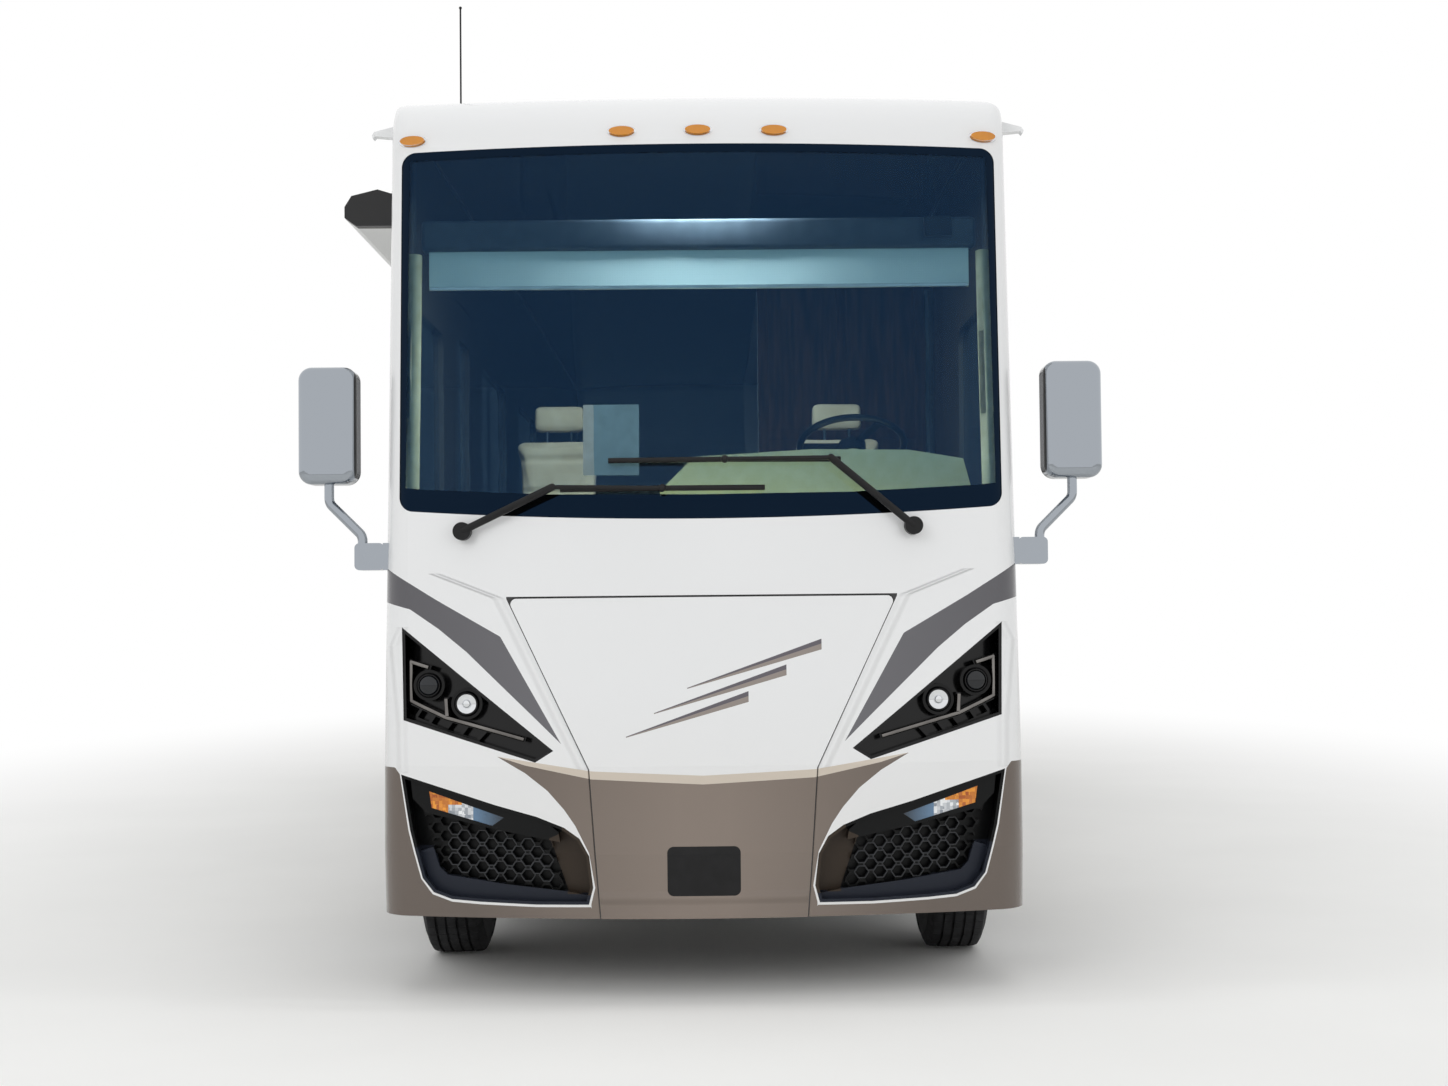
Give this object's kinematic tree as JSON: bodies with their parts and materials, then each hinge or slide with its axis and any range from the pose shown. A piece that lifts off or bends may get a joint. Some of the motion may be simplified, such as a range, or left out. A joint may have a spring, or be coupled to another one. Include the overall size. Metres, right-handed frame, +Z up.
{
  "type": "motorhome",
  "caption": "Bus-style motorhome with raked one-piece windshield, lift-up nose panel, hollow coach body, storage doors, slide-out room, awning, steered front wheels and dual rear wheels.",
  "frame": {"origin": "centre of the bounding box at floor level, where the tyres stand", "axes": "+Z up, -Y the direction of travel, +X the vehicle's left side"},
  "size_m": [3.312, 11.009, 4.255],
  "materials": {
    "body_paint": "gloss",
    "black_plastic": "satin",
    "glass": "tinted",
    "lamp_black": "gloss",
    "clear_lens": "clear",
    "amber_lens": "gloss",
    "chrome": "polished",
    "black_paint": "satin",
    "white_plastic": "satin",
    "steel": "satin",
    "aluminium": "satin",
    "red_lens": "gloss",
    "floor_covering": "satin",
    "galvanised": "galvanised",
    "cream_vinyl": "grained",
    "black_rubber": "satin",
    "cream_leather": "grained",
    "shade_cloth": "woven",
    "chassis_paint": "satin",
    "cast_iron": "cast",
    "alloy": "polished",
    "tyre": "rubber"
  },
  "bodies": {
    "coach": {"front_cap": "body_paint", "windshield": "glass", "headlamps": "lamp_black", "corner_grilles": "black_plastic", "turn_lamps": "clear_lens", "amber_lamps": "amber_lens", "wipers": "black_plastic", "mirrors": "chrome", "wall_left": "body_paint", "wall_right": "body_paint", "roof": "body_paint", "rear_cap": "body_paint", "side_windows": "glass", "awning": "black_paint", "roof_units": "white_plastic", "antenna": "steel", "ladder": "aluminium", "tail_lamps": "red_lens", "floor": "floor_covering", "storage_bins": "galvanised", "dashboard": "cream_vinyl", "front_seats": "cream_leather", "front_shade": "shade_cloth", "frame_rails": "chassis_paint", "spring_hangers": "chassis_paint", "crossmembers": "chassis_paint", "hitch_receiver": "chassis_paint", "engine": "cast_iron", "drive_shaft": "steel", "exhaust": "steel", "fuel_tank": "black_plastic", "leaf_springs": "chassis_paint", "front_axle": "cast_iron", "rear_axle": "cast_iron"},
    "hood_panel": {"hood": "body_paint", "tow_plate": "black_plastic"},
    "entry_door": {"entry_door": "body_paint", "entry_window": "glass"},
    "slide_room": {"slide_out": "body_paint", "slide_windows": "glass"},
    "steering_wheel": {"steering_wheel": "black_rubber"},
    "knuckle_left": {"steer_knuckle_left": "cast_iron"},
    "knuckle_right": {"steer_knuckle_right": "cast_iron"},
    "front_wheel_left": {"front_rim_left": "alloy", "front_tyre_left": "tyre"},
    "front_wheel_right": {"front_rim_right": "alloy", "front_tyre_right": "tyre"},
    "rear_wheels_left": {"rear_rims_left": "alloy", "rear_tyres_left": "tyre"},
    "rear_wheels_right": {"rear_rims_right": "alloy", "rear_tyres_right": "tyre"},
    "storage_door_left_1": {"storage_door_left_1": "body_paint"},
    "storage_door_left_2": {"storage_door_left_2": "body_paint"},
    "storage_door_left_3": {"storage_door_left_3": "body_paint"},
    "storage_door_left_4": {"storage_door_left_4": "body_paint"},
    "storage_door_right_1": {"storage_door_right_1": "body_paint"},
    "storage_door_right_2": {"storage_door_right_2": "body_paint"},
    "storage_door_right_3": {"storage_door_right_3": "body_paint"}
  },
  "joints": [
    {"name": "steer_left", "type": "hinge", "parent": "coach", "child": "knuckle_left", "pos_m": [0.93, -4.3545, 0.478], "axis": [0, 0, 1], "range_deg": [-40, 40]},
    {"name": "steer_right", "type": "hinge", "parent": "coach", "child": "knuckle_right", "pos_m": [-0.93, -4.3545, 0.478], "axis": [0, 0, 1], "range_deg": [-40, 40]},
    {"name": "steering_wheel_turn", "type": "hinge", "parent": "coach", "child": "steering_wheel", "pos_m": [0.661, -4.5745, 2.215], "axis": [0, 0.4695, 0.8829], "range_deg": [-640, 640]},
    {"name": "front_wheel_left_spin", "type": "hinge", "parent": "knuckle_left", "child": "front_wheel_left", "pos_m": [1.085, -4.3545, 0.478], "axis": [1, 0, 0], "continuous": true},
    {"name": "front_wheel_right_spin", "type": "hinge", "parent": "knuckle_right", "child": "front_wheel_right", "pos_m": [-1.085, -4.3545, 0.478], "axis": [1, 0, 0], "continuous": true},
    {"name": "rear_wheels_left_spin", "type": "hinge", "parent": "coach", "child": "rear_wheels_left", "pos_m": [0.9225, 1.7925, 0.478], "axis": [1, 0, 0], "continuous": true},
    {"name": "rear_wheels_right_spin", "type": "hinge", "parent": "coach", "child": "rear_wheels_right", "pos_m": [-0.9225, 1.7925, 0.478], "axis": [1, 0, 0], "continuous": true},
    {"name": "hood_lift", "type": "hinge", "parent": "coach", "child": "hood_panel", "pos_m": [0, -5.3245, 1.747], "axis": [-1, 0, 0], "range_deg": [0, 60]},
    {"name": "entry_door_swing", "type": "hinge", "parent": "coach", "child": "entry_door", "pos_m": [-1.2908, -3.4895, 1.975], "axis": [0, 0, 1], "range_deg": [0, 90]},
    {"name": "slide_room_extend", "type": "slide", "parent": "coach", "child": "slide_room", "axis": [1, 0, 0], "range_m": [0, 0.9]},
    {"name": "storage_door_left_1_lift", "type": "hinge", "parent": "coach", "child": "storage_door_left_1", "pos_m": [1.2908, -2.7795, 1.262], "axis": [0, -1, 0], "range_deg": [0, 85]},
    {"name": "storage_door_left_2_lift", "type": "hinge", "parent": "coach", "child": "storage_door_left_2", "pos_m": [1.2908, -1.2095, 1.262], "axis": [0, -1, 0], "range_deg": [0, 85]},
    {"name": "storage_door_left_3_lift", "type": "hinge", "parent": "coach", "child": "storage_door_left_3", "pos_m": [1.2908, 0.3205, 1.262], "axis": [0, -1, 0], "range_deg": [0, 85]},
    {"name": "storage_door_left_4_lift", "type": "hinge", "parent": "coach", "child": "storage_door_left_4", "pos_m": [1.2908, 3.4455, 1.262], "axis": [0, -1, 0], "range_deg": [0, 85]},
    {"name": "storage_door_right_1_lift", "type": "hinge", "parent": "coach", "child": "storage_door_right_1", "pos_m": [-1.2908, -1.7545, 1.262], "axis": [0, 1, 0], "range_deg": [0, 85]},
    {"name": "storage_door_right_2_lift", "type": "hinge", "parent": "coach", "child": "storage_door_right_2", "pos_m": [-1.2908, 0.1305, 1.262], "axis": [0, 1, 0], "range_deg": [0, 85]},
    {"name": "storage_door_right_3_lift", "type": "hinge", "parent": "coach", "child": "storage_door_right_3", "pos_m": [-1.2908, 3.4455, 1.262], "axis": [0, 1, 0], "range_deg": [0, 85]}
  ],
  "couplings": [
    {"joint": "steer_right", "follows": "steer_left", "ratio": 1},
    {"joint": "steering_wheel_turn", "follows": "steer_left", "ratio": 16}
  ]
}
